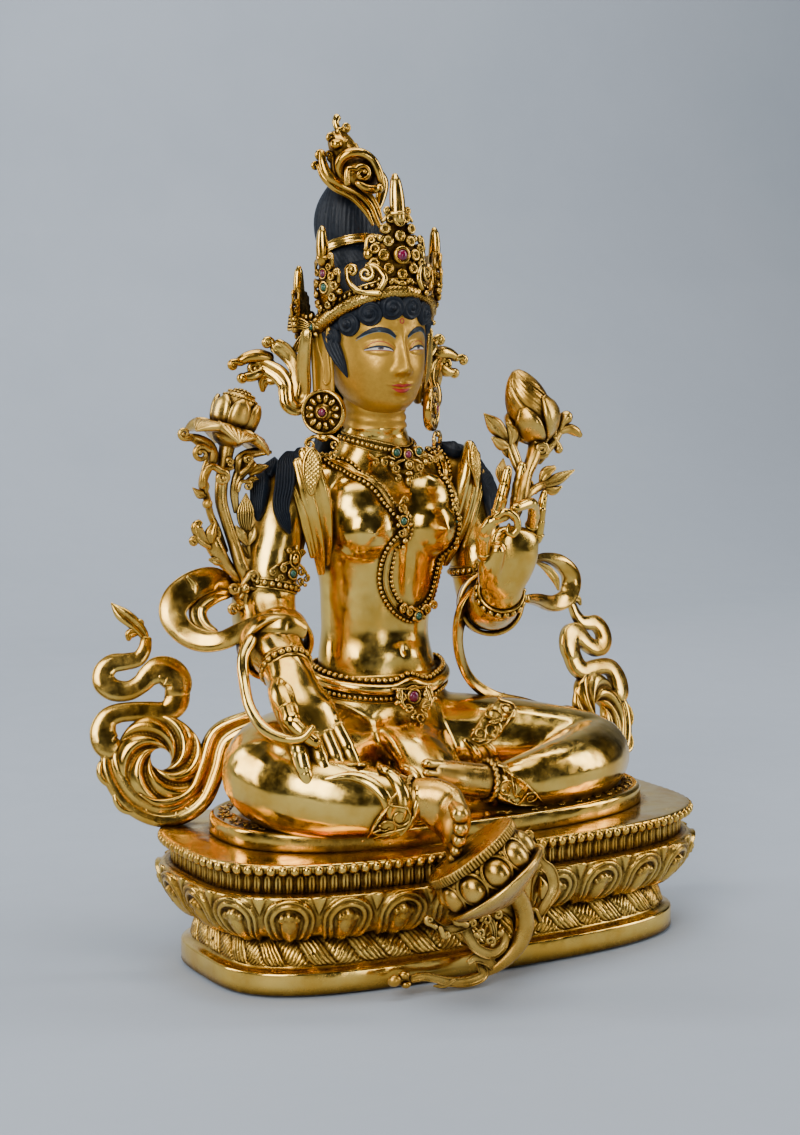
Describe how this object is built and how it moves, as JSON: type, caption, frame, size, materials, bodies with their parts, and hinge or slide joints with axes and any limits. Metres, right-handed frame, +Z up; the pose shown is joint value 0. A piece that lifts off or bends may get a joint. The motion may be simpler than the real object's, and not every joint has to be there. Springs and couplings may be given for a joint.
{
  "type": "tara figure",
  "caption": "Gilt copper seated Tara on a lotus plinth, one foot on a lotus, with crown, lotus sprays, scarves and set stones.",
  "frame": {"origin": "centre of the plinth's underside", "axes": "+Z up, the figure faces -Y, the figure's left hand is towards +X"},
  "size_m": [0.2498, 0.158, 0.3208],
  "materials": {
    "gilding": "fire gilding, polished on the skin and dark in the recesses; face and neck in matt gold paint, hair in blue-black paint",
    "red_gilding": "thinner, redder gilding, satin",
    "ruby": "polished cabochon",
    "emerald": "polished cabochon"
  },
  "bodies": {
    "root": {"plinth": "gilding", "figure": "gilding", "crown": "gilding", "topknot_ornament": "gilding", "right_scarf_end": "gilding", "left_scarf_end": "gilding", "open_lotus_spray": "red_gilding", "bud_lotus_spray": "red_gilding", "foot_lotus": "red_gilding", "crown_front_ruby": "ruby", "right_crown_ruby": "ruby", "left_crown_ruby": "ruby", "right_rear_crown_ruby": "ruby", "left_rear_crown_ruby": "ruby", "right_earring_ruby": "ruby", "left_earring_ruby": "ruby", "necklace_middle_ruby": "ruby", "girdle_ruby": "ruby", "right_crown_emerald": "emerald", "left_crown_emerald": "emerald", "right_bow_emerald": "emerald", "left_bow_emerald": "emerald", "necklace_right_emerald": "emerald", "necklace_left_emerald": "emerald", "strap_right_emerald": "emerald", "strap_left_emerald": "emerald", "strap_pendant_emerald": "emerald", "right_armlet_emerald": "emerald", "left_armlet_emerald": "emerald", "right_bracelet_emerald": "emerald"}
  },
  "joints": []
}
